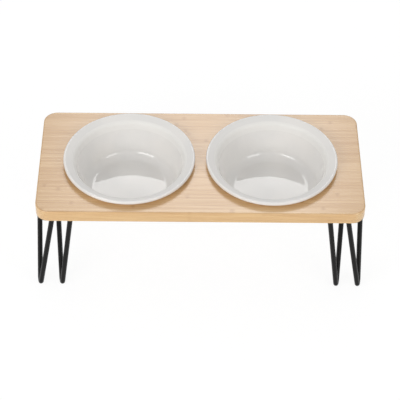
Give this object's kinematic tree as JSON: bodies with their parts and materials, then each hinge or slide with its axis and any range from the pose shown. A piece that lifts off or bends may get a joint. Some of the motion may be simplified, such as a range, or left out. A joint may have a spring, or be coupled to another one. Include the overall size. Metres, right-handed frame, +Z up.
{
  "type": "elevated pet feeder",
  "caption": "Raised pet feeder: a bamboo board with round holes holds lift-out glazed bowls by their lips and stands on black steel hairpin legs.",
  "frame": {"origin": "on the floor, under the middle of the board", "axes": "+X along the board to the right, +Y to the back, +Z up"},
  "size_m": [0.4102, 0.182, 0.148],
  "materials": {
    "bamboo": "pale laminated bamboo, satin",
    "white_glaze": "glossy off-white glaze",
    "black_steel": "satin black powder coat",
    "screw_steel": "black oxide"
  },
  "bodies": {
    "stand": {"board": "bamboo", "front_left_plate": "black_steel", "front_right_plate": "black_steel", "rear_left_plate": "black_steel", "rear_right_plate": "black_steel", "front_left_screws": "screw_steel", "front_right_screws": "screw_steel", "rear_left_screws": "screw_steel", "rear_right_screws": "screw_steel", "front_left_outer_hairpin": "black_steel", "front_left_inner_hairpin": "black_steel", "front_right_outer_hairpin": "black_steel", "front_right_inner_hairpin": "black_steel", "rear_left_outer_hairpin": "black_steel", "rear_left_inner_hairpin": "black_steel", "rear_right_outer_hairpin": "black_steel", "rear_right_inner_hairpin": "black_steel"},
    "left_bowl": {"left_bowl": "white_glaze"},
    "right_bowl": {"right_bowl": "white_glaze"}
  },
  "joints": [
    {"name": "left_bowl_lift", "type": "slide", "parent": "stand", "child": "left_bowl", "axis": [0, 0, 1], "range_m": [0, 0.08]},
    {"name": "right_bowl_lift", "type": "slide", "parent": "stand", "child": "right_bowl", "axis": [0, 0, 1], "range_m": [0, 0.08]}
  ]
}
